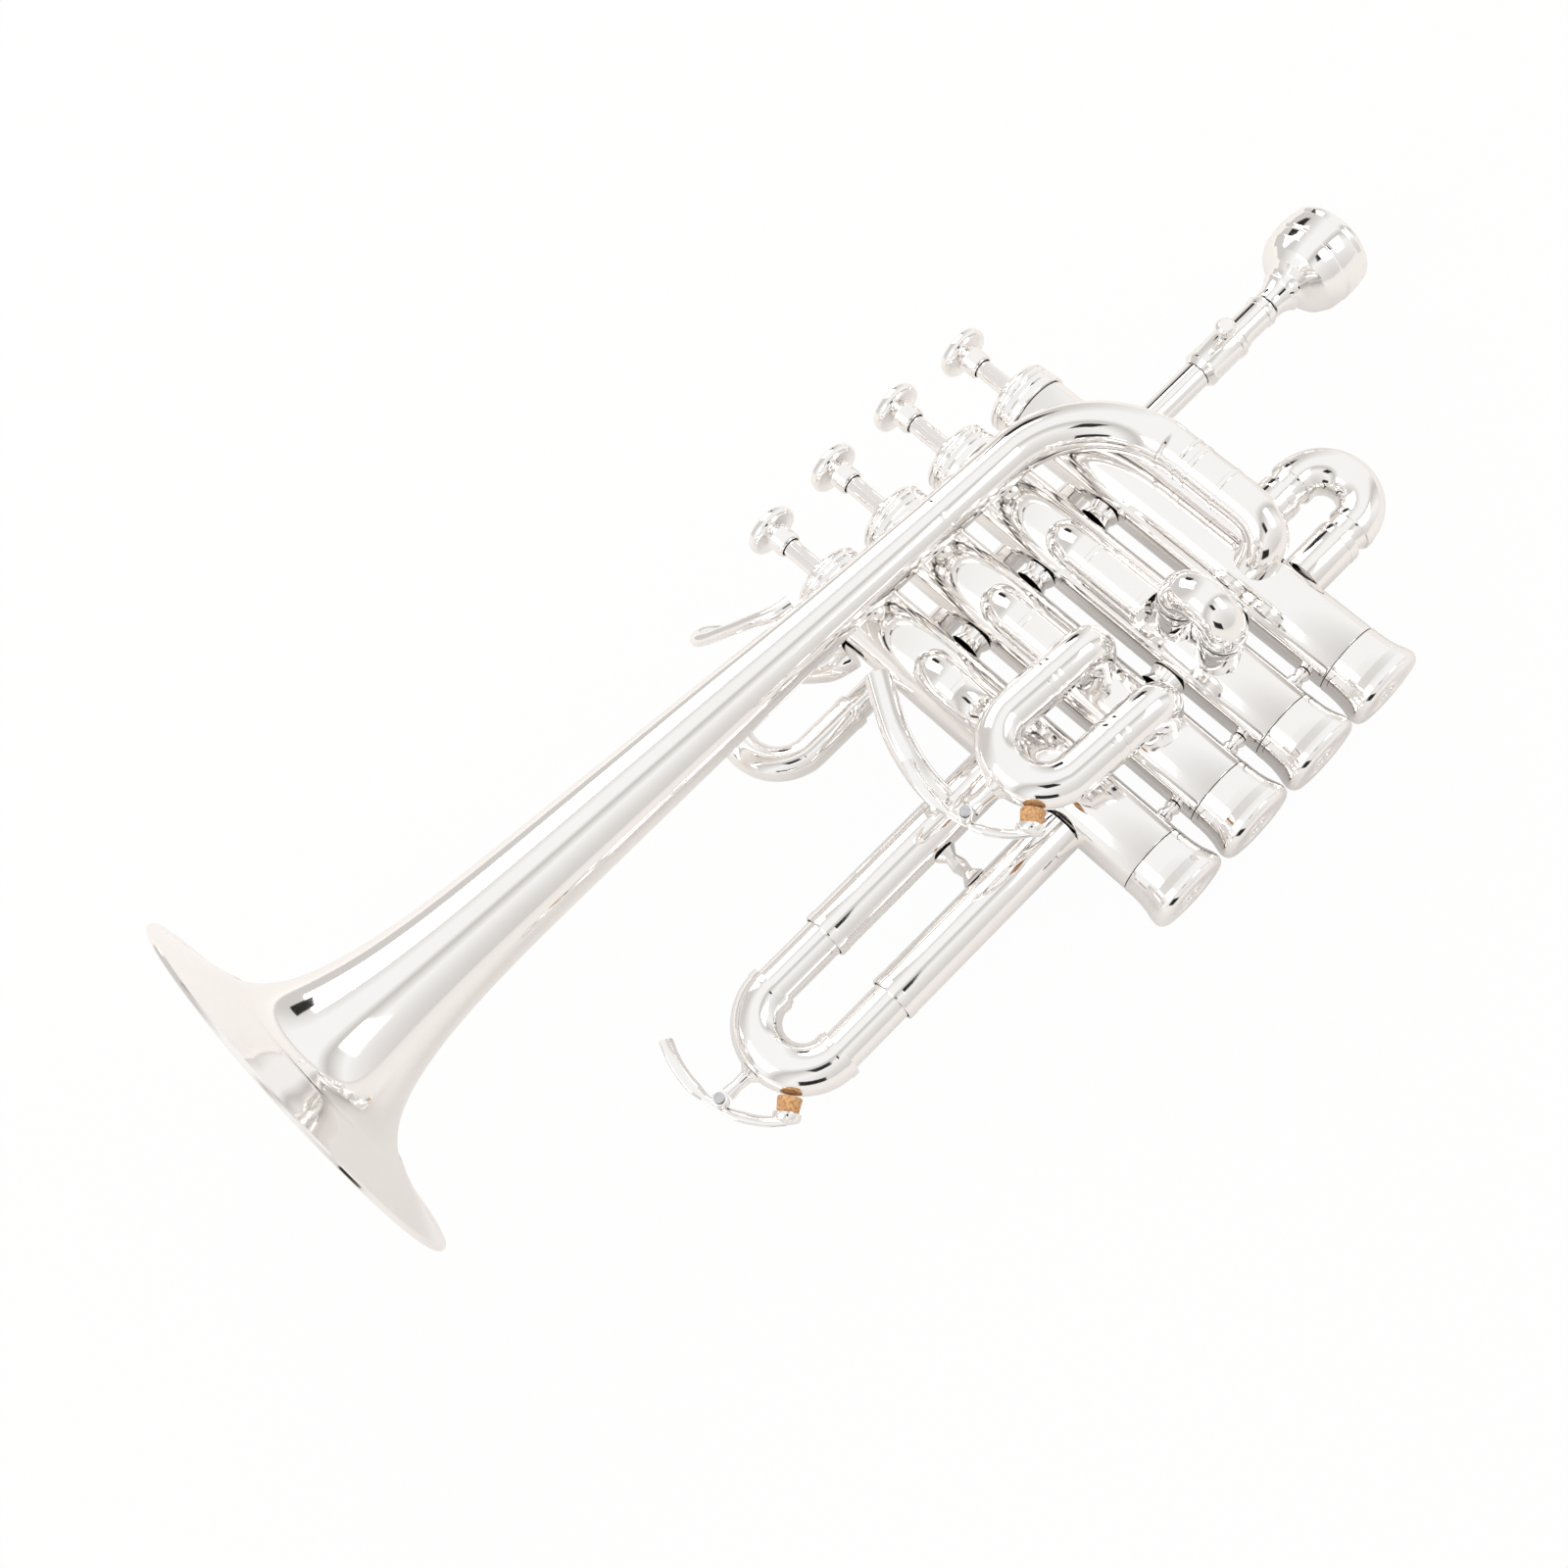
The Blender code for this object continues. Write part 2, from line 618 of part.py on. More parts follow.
def hand_ring():
    end_y = SLEEVE4_R + GAP + 3.4
    points = [
        (-84.4, -14.0, 14.5), (-88.2, -13.4, 8.0), (-91.9, -12.6, 1.0), (-94.3, -11.8, -6.0),
        (-95.6, -10.8, -12.5), (-95.8, -end_y, -18.8),
    ]
    rod("hand_ring", points, 3.4, SILVER)


clear_scene()
PARTS = new_collection("piccolo_trumpet")
CUTTERS = new_collection("cutters")
SILVER = material("silver_plate", (0.87, 0.86, 0.85), 0.12, 1.0)
STEEL = material("spring_steel", (0.55, 0.56, 0.58), 0.3, 1.0)
CORK = material("cork", (0.62, 0.33, 0.13), 0.85, 0.0)
FELT = material("felt", (0.75, 0.72, 0.66), 0.95, 0.0)
BORES = {}
SADDLES = {}
for valve in range(1, VALVES + 1):
    axis_x = valve_x(valve)
    BORES[valve] = cylinder(f"bore{valve}", (axis_x, 0, -90), (axis_x, 0, 60), BORE_R)
    SADDLES[valve] = cylinder(f"saddle{valve}", (axis_x, 0, -90), (axis_x, 0, 60), CASING_R + GAP)
for valve in range(1, VALVES + 1):
    casing(valve)
    bottom_cap(valve)
    top_cap(valve)
    piston(valve)
    felt(valve)
    button(valve)
    spring(valve)
bell()
bell_tail()
for valve in FRONT_TUBE_ENDS:
    front_tube(valve)
slide_one()
slide_two()
slide_three()
slide_four()
mouthpipe()
finger_hook()
hand_ring()
stand = bpy.data.objects.new("stand_point", None)
stand.location = Vector(STAND_SHIFT) * MM
bpy.context.scene.collection.objects.link(stand)
for obj in list(PARTS.objects) + list(CUTTERS.objects):
    obj.parent = stand
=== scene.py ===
import bmesh
import bpy
import json
import math
from mathutils import Matrix, Vector


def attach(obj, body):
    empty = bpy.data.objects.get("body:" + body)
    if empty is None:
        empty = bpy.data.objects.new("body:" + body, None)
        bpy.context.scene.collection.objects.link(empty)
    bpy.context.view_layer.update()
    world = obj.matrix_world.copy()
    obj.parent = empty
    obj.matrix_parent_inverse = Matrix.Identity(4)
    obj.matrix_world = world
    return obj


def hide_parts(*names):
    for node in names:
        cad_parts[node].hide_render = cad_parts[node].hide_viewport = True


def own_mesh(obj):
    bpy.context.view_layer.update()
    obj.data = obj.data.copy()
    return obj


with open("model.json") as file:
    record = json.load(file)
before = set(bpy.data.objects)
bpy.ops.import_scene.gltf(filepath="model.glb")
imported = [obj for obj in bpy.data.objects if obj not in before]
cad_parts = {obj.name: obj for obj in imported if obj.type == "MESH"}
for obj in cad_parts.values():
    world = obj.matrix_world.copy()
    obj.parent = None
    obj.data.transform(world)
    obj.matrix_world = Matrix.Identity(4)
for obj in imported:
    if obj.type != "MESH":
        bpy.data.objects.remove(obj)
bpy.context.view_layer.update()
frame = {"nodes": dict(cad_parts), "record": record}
mm = 0.001
standShift = Vector((78.175, 16.8, 75.0))  # places below are in mm from the first valve's axis
print("frame loaded")


def spot(place):
    return (Vector(place) + standShift) * mm


# small helpers for shader maths
class Sock:
    def __init__(self, tree, out):
        self.tree = tree
        self.out = out

    def combine(self, other, kind):
        node = self.tree.nodes.new("ShaderNodeMath")
        node.operation = kind
        for i, item in enumerate((self, other)):
            if isinstance(item, Sock):
                self.tree.links.new(item.out, node.inputs[i])
            else:
                node.inputs[i].default_value = item
        return Sock(self.tree, node.outputs[0])

    def __add__(self, other):
        return self.combine(other, "ADD")

    def __mul__(self, other):
        return self.combine(other, "MULTIPLY")

    __radd__ = __add__
    __rmul__ = __mul__


class Shader:
    def __init__(self, tree):
        self.tree = tree

    def node(self, kind, settings=None, values=None, out=0):
        made = self.tree.nodes.new(kind)
        for key, value in (settings or {}).items():
            if key == "stops":
                ramp = made.color_ramp
                while len(ramp.elements) < len(value):
                    ramp.elements.new(0.5)
                for element, (position, colour) in zip(ramp.elements, value):
                    element.position = position
                    element.color = colour
            else:
                setattr(made, key, value)
        for key, value in (values or {}).items():
            if isinstance(value, Sock):
                self.tree.links.new(value.out, made.inputs[key])
            else:
                made.inputs[key].default_value = value
        return Sock(self.tree, made.outputs[out] if made.outputs else None)

    # object coordinates, a noise and a colour between two others
    def place(self):
        return self.node("ShaderNodeTexCoord", out=3)

    def noise(self, coords, scale, detail, distortion=0.0):
        values = {"Vector": coords, "Scale": scale, "Detail": detail, "Distortion": distortion}
        return self.node("ShaderNodeTexNoise", None, values)

    def between(self, share, one, two):
        values = {"Factor": share, "A": one, "B": two}
        return self.node("ShaderNodeMix", {"data_type": "RGBA"}, values, 2)

    def bump(self, height, strength, distance):
        values = {"Strength": strength, "Distance": distance, "Height": height}
        return self.node("ShaderNodeBump", None, values)


def newMaterial(name, constants):
    made = bpy.data.materials.new(name)
    made.use_nodes = True
    shader = made.node_tree.nodes["Principled BSDF"]
    for key, value in constants.items():
        shader.inputs[key].default_value = value
    return made, Shader(made.node_tree), shader


def feed(material, shader, key, sock):
    material.node_tree.links.new(sock.out, shader.inputs[key])


silverLook = {
    "bright": (0.97, 0.965, 0.96, 1),
    "warm": (0.93, 0.9, 0.87, 1),
    "roughness": 0.05,
    "smear": 0.05,  # handling marks, as extra roughness
    "cloudScale": 38.0,
    "gritScale": 2600.0,
    "bump": 0.012,
    "depth": 0.0001,
}


def makeSilver(look):
    made, net, shader = newMaterial("silverPlate", {"Metallic": 1.0})
    coords = net.place()
    cloud = net.noise(coords, look["cloudScale"], 5.0)
    grit = net.noise(coords, look["gritScale"], 2.0)
    feed(made, shader, "Base Color", net.between(cloud, look["bright"], look["warm"]))
    feed(made, shader, "Roughness", look["roughness"] + cloud * look["smear"])
    feed(made, shader, "Normal", net.bump(grit, look["bump"], look["depth"]))
    return made


corkLook = {
    "pale": (0.72, 0.42, 0.2, 1),
    "dark": (0.36, 0.15, 0.05, 1),
    "scale": 900.0,
    "grain": 1.7,
    "stops": (0.3, 0.6),
    "bump": 0.5,
    "depth": 0.0002,
}


def makeCork(look):
    made, net, shader = newMaterial("naturalCork", {"Roughness": 0.85})
    coords = net.place()
    cells = net.node("ShaderNodeTexVoronoi", None, {"Vector": coords, "Scale": look["scale"]})
    grain = net.noise(coords, look["scale"] * look["grain"], 6.0)
    stops = list(zip(look["stops"], (look["dark"], look["pale"])))
    feed(made, shader, "Base Color", net.node("ShaderNodeValToRGB", {"stops": stops}, {"Fac": grain}))
    feed(made, shader, "Normal", net.bump(cells, look["bump"], look["depth"]))
    return made


feltLook = {
    "pale": (0.85, 0.82, 0.76, 1),
    "dark": (0.6, 0.56, 0.5, 1),
    "scale": 1500.0,
    "tangle": 1.5,
    "bump": 0.6,
    "depth": 0.0002,
}


def makeFelt(look):
    made, net, shader = newMaterial("pressedFelt", {"Roughness": 0.95, "Sheen Weight": 0.4})
    fibre = net.noise(net.place(), look["scale"], 8.0, look["tangle"])
    feed(made, shader, "Base Color", net.between(fibre, look["dark"], look["pale"]))
    feed(made, shader, "Normal", net.bump(fibre, look["bump"], look["depth"]))
    return made


steelLook = {
    "dark": (0.5, 0.5, 0.52, 1),
    "pale": (0.7, 0.7, 0.72, 1),
    "scale": 1200.0,
    "roughness": 0.2,
    "smear": 0.15,
}


def makeSteel(look):
    made, net, shader = newMaterial("springSteel", {"Metallic": 1.0})
    drawn = net.noise(net.place(), look["scale"], 4.0)
    feed(made, shader, "Base Color", net.between(drawn, look["dark"], look["pale"]))
    feed(made, shader, "Roughness", look["roughness"] + drawn * look["smear"])
    return made


slots = {
    "silver_plate": makeSilver(silverLook),
    "cork": makeCork(corkLook),
    "felt": makeFelt(feltLook),
    "spring_steel": makeSteel(steelLook),
}
slotOf = {}
for part in frame["record"]["subparts"]:
    slotOf[part["node"]] = part["material_slot"]
    mesh = frame["nodes"][part["node"]].data
    mesh.materials.clear()
    mesh.materials.append(slots[part["material_slot"]])
bodyOf = {}
for body, nodes in frame["record"]["behaviour"]["bodies"].items():
    for node in nodes:
        bodyOf[node] = body
print("materials made")

meshRules = {"weld": 0.000002, "sharp": 32, "cornerSteps": 3, "onAxis": 0.0001, "steps": 64}


# closes the mesh of a piece, gives it its finish and hangs it on its node's body
def settle(shape, name, node, replaces):
    bmesh.ops.remove_doubles(shape, verts=shape.verts, dist=meshRules["weld"])
    bmesh.ops.recalc_face_normals(shape, faces=shape.faces)
    mesh = bpy.data.meshes.new(name)
    shape.to_mesh(mesh)
    shape.free()
    mesh.shade_smooth()
    mesh.set_sharp_from_angle(angle=math.radians(meshRules["sharp"]))
    piece = bpy.data.objects.new(name, mesh)
    bpy.context.scene.collection.objects.link(piece)
    mesh.materials.append(slots[slotOf[node]])
    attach(piece, bodyOf[node])
    if replaces:
        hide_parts(node)
    return piece


# a profile of radius and height in mm, spun about its own axis and laid along a direction
def spun(
    name, node, profile, place, along=(0, 0, 1),
    loop=True, replaces=True, count=meshRules["steps"], soften=0.0,
):
    shape = bmesh.new()
    ring = [shape.verts.new((r * mm, 0, h * mm)) for r, h in profile]
    for pair in zip(ring, ring[1:]):
        shape.edges.new(pair)
    if loop:
        shape.edges.new((ring[-1], ring[0]))
    if soften:
        corners = [v for v in ring if v.co.x > meshRules["onAxis"] and len(v.link_edges) == 2]
        bmesh.ops.bevel(
            shape, geom=corners, offset=soften * mm, affect="VERTICES",
            segments=meshRules["cornerSteps"], profile=0.5, material=-1,
        )
    bmesh.ops.spin(
        shape, geom=shape.verts[:] + shape.edges[:], cent=(0, 0, 0), axis=(0, 0, 1),
        angle=math.tau, steps=count, use_merge=True,
    )
    turn = Vector((0, 0, 1)).rotation_difference(Vector(along).normalized()).to_matrix().to_4x4()
    bmesh.ops.transform(shape, matrix=Matrix.Translation(spot(place)) @ turn, verts=shape.verts)
    return settle(shape, name, node, replaces)


# points of a smooth curve through the given ones
def smoothRun(points, steps=6):
    run = [Vector(p) for p in points]
    made = []
    for i in range(len(run) - 1):
        before = run[max(i - 1, 0)]
        after = run[min(i + 2, len(run) - 1)]
        for k in range(steps):
            t = k / steps
            a = 2 * run[i] + (run[i + 1] - before) * t
            b = (2 * before - 5 * run[i] + 4 * run[i + 1] - after) * t * t
            c = (3 * run[i] - before - 3 * run[i + 1] + after) * t * t * t
            made.append((a + b + c) / 2)
    return made + [run[-1]]


# points of an arc about a centre, in the upright plane along the valves or across them
def arcRun(centre, radius, start, end, count, across=False):
    made = []
    for i in range(count + 1):
        a = math.radians(start + (end - start) * i / count)
        out, up = radius * math.cos(a), radius * math.sin(a)
        made.append(tuple(Vector(centre) + Vector((0, out, up) if across else (out, 0, up))))
    return made


# a ring extruded along a run of points into a closed tube; swell scales its radius on the way
def piped(name, node, points, radius, swell=None, smooth=True, flat=1.0, count=40):
    run = smoothRun(points) if smooth else [Vector(p) for p in points]
    grown = swell or [1.0] * len(points)
    shape = bmesh.new()
    ring = bmesh.ops.create_circle(shape, segments=count, radius=1)["verts"]
    edges = shape.edges[:]
    ends = [edges]
    side = None
    for i, place in enumerate(run):
        ahead = (run[min(i + 1, len(run) - 1)] - run[max(i - 1, 0)]).normalized()
        if side is None:
            side = ahead.orthogonal().normalized()
        side = (side - ahead * side.dot(ahead)).normalized()
        at = i * (len(grown) - 1) / (len(run) - 1)
        low = min(int(at), len(grown) - 2)
        wide = radius * (grown[low] + (grown[low + 1] - grown[low]) * (at - low)) * mm
        turn = Matrix((side, ahead.cross(side), ahead)).transposed().to_4x4()
        lay = Matrix.Translation(spot(place)) @ turn @ Matrix.Diagonal((wide, wide * flat, 1, 1))
        placed = ring
        if i < len(run) - 1:
            made = bmesh.ops.extrude_edge_only(shape, edges=edges)["geom"]
            ring = [item for item in made if isinstance(item, bmesh.types.BMVert)]
            edges = [item for item in made if isinstance(item, bmesh.types.BMEdge)]
            edges = [edge for edge in edges if set(edge.verts) <= set(ring)]
        bmesh.ops.transform(shape, matrix=lay, verts=placed)
    ends.append(edges)
    for end in ends:
        bmesh.ops.contextual_create(shape, geom=end)
    return settle(shape, name, node, True)


bandLook = {"lip": 0.13, "sink": 0.5, "round": 0.6}


# a thin turned line round a tube
def band(name, node, place, along, radius, height, lip=bandLook["lip"]):
    half = height / 2
    short = half * bandLook["round"]
    foot, edge, face = radius - bandLook["sink"], radius + lip * bandLook["round"], radius + lip
    profile = [(foot, half), (edge, half), (face, short), (face, -short), (edge, -half), (foot, -half)]
    return spun(name, node, profile, place, along, replaces=False)


valveDims = {
    "count": 4,
    "pitch": 23.5,
    "lifts": (-1.2, 0.6, 0.4, -0.5),  # the buttons stand at slightly different heights
    "barrel": [
        (9.0, 44), (9.0, 40), (9.5, 40), (9.5, -62),
        (9.0, -62), (9.0, -70), (8.5, -70), (8.5, 44),
    ],
    "bottomCap": [
        (9.6, -62.2), (9.6, -64.5), (9.75, -67.0), (10.15, -69.4), (10.8, -71.6), (11.0, -72.7),
        (10.95, -73.6), (10.5, -74.5), (9.8, -75.0), (6.8, -75.0), (6.5, -74.6), (3.2, -74.6),
        (2.9, -75.0), (2.15, -75.0), (2.15, -73), (9.3, -73), (9.3, -62.3),
    ],
    "topCap": [
        (2.9, 49.3), (4.2, 49.3), (4.4, 48.9), (7.4, 48.8), (8.8, 48.2), (9.7, 47.3), (9.9, 46.9),
        (9.5, 46.6), (9.9, 46.2), (9.9, 45.2), (9.5, 44.9), (9.9, 44.5), (9.9, 43.0), (10.2, 42.5),
        (10.2, 40.6), (10.0, 40.3), (9.3, 40.3), (9.3, 44.3), (2.9, 44.3),
    ],
    "knobFoot": 60.8,
    "knob": [  # heights above the knob's foot
        (0, 9.7), (3.4, 9.6), (4.3, 9.4), (4.6, 9.1), (5.0, 9.2), (6.0, 8.9), (6.9, 8.2), (7.2, 7.2),
        (7.15, 6.2), (6.7, 5.5), (5.6, 5.1), (4.4, 4.9), (3.7, 4.3), (3.5, 3.2), (3.6, 0.7),
        (3.3, 0), (2.8, 0), (2.8, 3.8), (0, 3.8),
    ],
    "felt": [(7.2, 44.0), (7.4, 43.7), (7.4, 42.2), (7.2, 41.9), (2.9, 41.9), (2.9, 44.0)],
    "stem": 2.5,
    "stemTop": 3.5,  # above the knob's foot
    "piston": [
        (2.5, 41.6), (8.1, 41.6), (8.1, -44), (2, -44), (2, -42.5), (7.1, -42.5), (7.1, 39.6), (0, 39.6),
    ],
    "studs": ((-57.0, 1.8), (-34.0, 5.0), (8.0, 4.4)),  # height and radius, towards the next valve
    "studFaces": (9.6, 13.9),
    "studNeck": (10.5, 11.75, 13.0),
    "studWaist": 0.8,
    "studSwell": 0.6,
    "edge": 0.15,
    "baseEdge": 0.12,
    "capEdge": 0.1,
}


def makeStud(name, node, x, height, radius, d):
    near, far = d["studFaces"]
    low, middle, high = d["studNeck"]
    waist = radius * d["studWaist"]
    thick = waist + d["studSwell"]
    profile = [(0, far), (radius, far), (thick, high), (waist, middle)]
    profile += [(thick, low), (radius, near), (0, near)]
    spun(name, node, profile, (x, 0, height), (-1, 0, 0), loop=False, replaces=False)


def makeValve(number, d):
    x = -d["pitch"] * (number - 1)
    tag = "valve%d" % number
    place = (x, 0, 0)
    foot = d["knobFoot"] + d["lifts"][number - 1]
    top = foot + d["stemTop"]
    knob = [(r, foot + h) for r, h in d["knob"]]
    piston = [(0, top), (d["stem"], top)] + d["piston"]
    spun(tag + "Barrel", tag + "_casing", d["barrel"], place, soften=d["edge"])
    spun(tag + "BottomCap", tag + "_bottom_cap", d["bottomCap"], place, soften=d["baseEdge"])
    spun(tag + "TopCap", tag + "_top_cap", d["topCap"], place, soften=d["capEdge"])
    spun(tag + "Button", tag + "_button", knob, place, loop=False)
    spun(tag + "Felt", tag + "_felt", d["felt"], place)
    spun(tag + "Piston", tag + "_piston", piston, place, loop=False, soften=d["edge"])
    if number < d["count"]:
        for k, (height, radius) in enumerate(d["studs"]):
            makeStud(tag + "Stud%d" % k, tag + "_casing", x, height, radius, d)


springDims = {
    "radius": 6.4,
    "wire": 0.45,
    "turns": 6,
    "perTurn": 16,
    "low": -72.25,
    "high": -44.75,
    "travel": 10.0,  # how far the valve presses it
    "sides": 10,
}


def makeSpring(number, d):
    x = -valveDims["pitch"] * (number - 1)
    steps = d["turns"] * d["perTurn"]
    rise = d["high"] - d["low"]
    run = []
    for i in range(steps + 1):
        a = math.tau * i / d["perTurn"]
        run.append((x + d["radius"] * math.cos(a), d["radius"] * math.sin(a), d["low"] + rise * i / steps))
    name, node = "valve%dCoil" % number, "valve%d_spring" % number
    coil = piped(name, node, run, d["wire"], smooth=False, count=d["sides"])
    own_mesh(coil)


for number in range(1, valveDims["count"] + 1):
    makeValve(number, valveDims)
    makeSpring(number, springDims)
print("valves made")

bellDims = {
    "rim": (-250.4, -16.8, 40.3),
    "length": 205.0,
    "drop": 0.043,  # how much the bell slopes
    "wall": 0.6,
    "outline": (  # distance from the rim and radius
        (205, 6.2), (165, 7.2), (130, 8.9), (98.4, 10.2), (60.4, 11.9), (39.4, 13.8),
        (25.4, 16.4), (15.4, 19.9), (8.8, 24.8), (4.4, 32.5), (1.2, 44.0), (0, 50.0),
    ),
    "lip": [(50.0, 0.0), (50.45, 0.3), (50.5, 0.9), (50.2, 1.3)],
    "setBack": ((30, 0.9), (20, 0.35)),  # where the wall lies flat, its inside is set back instead
    "perSpan": 8,
    "steps": 128,
}


def makeBell(d):
    line = [(p.y, p.x) for p in smoothRun([(s, r, 0) for s, r in d["outline"]], d["perSpan"])]
    inside = []
    for r, s in reversed(line):
        back = next((move for least, move in d["setBack"] if r > least), 0)
        inside.append((r - d["wall"], s + back))
    along = Vector((1, 0, -d["drop"])).normalized()
    profile = line[:-1] + d["lip"] + inside[1:]
    spun("bellFlare", "bell", profile, d["rim"], along, count=d["steps"])
    return Vector(d["rim"]) + along * d["length"], along


bellEnd, bellAlong = makeBell(bellDims)
tailDims = {
    "bow": 30.5,
    "turns": 12,
    "x": 7.5,
    "wide": 6.2,
    "tube": 5.75,
    "elbow": (  # x, step sideways from the bell's axis, z
        (7.5, 0, -15.0), (7.5, 0, -21.0), (7.1, 0.5, -25.5),
        (5.5, 2.2, -29.4), (3.4, 5.2, -30.9), (1.5, 9.2, -30.9),
    ),
    "bands": ((-2.5, 0.8), (-5.5, 1.3), (-14.5, 1.3)),  # place and height of each line
    "bandRadius": 5.85,
    "endBand": (6.15, 2.0),
}


def makeTail(d):
    y = bellEnd.y
    turn = d["x"] - d["bow"]
    centre = (turn, y, bellEnd.z - (turn - bellEnd.x) * bellDims["drop"] - d["bow"])
    run = [tuple(bellEnd)] + arcRun(centre, d["bow"], 90, 0, d["turns"])
    down = [(x, y + step, z) for x, step, z in d["elbow"]]
    swell = [1.0] * (len(run) - 1) + [d["tube"] / d["wide"]] * (len(down) + 1)
    piped("bellBow", "bell_tail", run + down, d["wide"], swell)
    for k, (z, height) in enumerate(d["bands"]):
        band("tailBand%d" % k, "bell_tail", (d["x"], y, z), (0, 0, 1), d["bandRadius"], height)
    radius, height = d["endBand"]
    band("bowBand", "bell_tail", bellEnd, bellAlong, radius, height)


makeTail(tailDims)
frontDims = {
    "radius": 5.2,
    "y": -15.3,
    "top": 6.5,
    "elbow": (  # x from the valve's axis, y, z from the top
        (-1.5, -7.0, 0), (-2.4, -10.0, 0), (-3.7, -13.4, -1.6), (-4.5, -15.3, -5.6), (-4.5, -15.3, -9.0),
    ),
    "foot": (  # the fourth tube turns in below, as x and y from its own line and z from its end
        (0, 0, 7.0), (0.3, 1.2, 3.0), (1.3, 3.5, 0.6), (2.6, 6.5, 0),
    ),
    "shift": -4.5,
    "ends": {2: -21.6, 3: -14.6, 4: -10.5},
    "highBand": (-3.6, 1.4),
    "lowBand": (1.2, 1.6),
}


def makeFrontTube(number, d):
    port = -valveDims["pitch"] * (number - 1)
    x, y, end = port + d["shift"], d["y"], d["ends"][number]
    turned = number == valveDims["count"]
    run = [(port + dx, dy, d["top"] + dz) for dx, dy, dz in d["elbow"]]
    foot = d["foot"] if turned else ((0, 0, 0),)
    run += [(x + dx, y + dy, end + dz) for dx, dy, dz in foot]
    node = "front_tube_%d" % number
    piped("frontTube%d" % number, node, run, d["radius"])
    z, height = d["highBand"]
    band("frontBandHigh%d" % number, node, (x, y, z), (0, 0, 1), d["radius"], height)
    if not turned:
        z, height = d["lowBand"]
        band("frontBandLow%d" % number, node, (x, y, end + z), (0, 0, 1), d["radius"], height)


for number in frontDims["ends"]:
    makeFrontTube(number, frontDims)
print("bell and front tubes made")

sleeveDims = {"wall": 0.4, "lipBack": 1.4, "lipHeight": 2.4, "edge": 0.12}
bowDims = {
    "clearance": 0.95,  # the legs are this much thinner than their sleeves
    "swell": 1.001,
    "turns": 14,
    "bandHeight": 2.0,
    "bandOver": 0.1,
    "bandLip": 0.12,
}


def makeSleeve(node, start, end, radius, d):
    run = Vector(end) - Vector(start)
    inner = radius - d["wall"]
    profile = [(radius, run.length), (radius, 0), (inner, 0), (inner, run.length)]
    tag = node.replace("_", "")
    spun(tag + "Tube", node, profile, start, run, soften=d["edge"])
    lip = Vector(end) - run.normalized() * d["lipBack"]
    band(tag + "Lip", node, lip, run, radius, d["lipHeight"])


# the first and last points are the legs' ends; the tube swells to the sleeve's width after legPoints
def makeBow(node, run, sleeve, legPoints, d):
    leg = sleeve - d["clearance"]
    wide = sleeve * d["swell"] / leg
    count = len(run)
    swell = [1.0 if i < legPoints or i >= count - legPoints else wide for i in range(count)]
    tag = node.replace("_", "")
    piped(tag + "Tube", node, run, leg, swell)
    for k, (at, back) in enumerate(((legPoints, 0), (count - 1 - legPoints, -1))):
        along = Vector(run[at]) - Vector(run[back])
        radius = sleeve + d["bandOver"]
        band(tag + "Band%d" % k, node, run[at], along, radius, d["bandHeight"], d["bandLip"])


# places are x and y, and high and low are the two legs
slideDims = {
    4: {
        "legPoints": 2, "radius": 6.2, "high": -18.8, "low": -41.2, "sleeve": ((-79.6, 0), (-138, 0)),
        "leg": (-104, 0), "ferrule": (-154.8, 0), "turn": (-156.4, 0),
        "bend": (90, 270), "across": False,
    },
    1: {
        "legPoints": 2, "radius": 6.0, "high": -21.5, "low": -40.2, "sleeve": ((8.8, 0), (23.5, 0)),
        "leg": (11, 0), "ferrule": (24.5, 0), "turn": (28, 0),
        "bend": (90, -90), "across": False,
    },
    2: {
        "legPoints": 2, "radius": 5.5, "high": -27.5, "low": -40.5, "sleeve": ((-23.5, -8.6), (-23.5, -20)),
        "leg": (-23.5, -11), "ferrule": (-23.5, -21), "turn": (-23.5, -23),
        "bend": (90, 270), "across": True,
    },
}


def makeStraightSlide(number, d):
    high, low = d["high"], d["low"]
    for tag, z in (("upper", high), ("lower", low)):
        start, end = (xy + (z,) for xy in d["sleeve"])
        makeSleeve("slide%d_%s_sleeve" % (number, tag), start, end, d["radius"], sleeveDims)
    centre = d["turn"] + ((high + low) / 2,)
    bend = arcRun(centre, (high - low) / 2, *d["bend"], bowDims["turns"], d["across"])
    run = [d["leg"] + (high,), d["ferrule"] + (high,)] + bend
    run += [d["ferrule"] + (low,), d["leg"] + (low,)]
    makeBow("slide%d_bow" % number, run, d["radius"], d["legPoints"], bowDims)


thirdDims = {
    "radius": 5.5,
    "high": -21.1,
    "low": -42.1,
    "rise": 0.066,  # the slide points slightly up
    "elbow": (  # x, y and the step in z of the bent sleeve
        (-47, -7.5, 0), (-47, -13, 0), (-47, -18.5, 0), (-47.6, -22.6, 0),
        (-49.2, -25.6, 0.1), (-52, -27, 0.33), (-62, -27, 0.99),
    ),
    "lip": (-60.6, -27, 0.9),
    "ring": (-47, -16.5, 0),
    "ringHeight": 1.6,
    "middle": (-74, -27, 27),  # x, y and the run over which the rise counts
    "ferrule": 11,
    "leg": 20.8,
    "legPoints": 1,
}


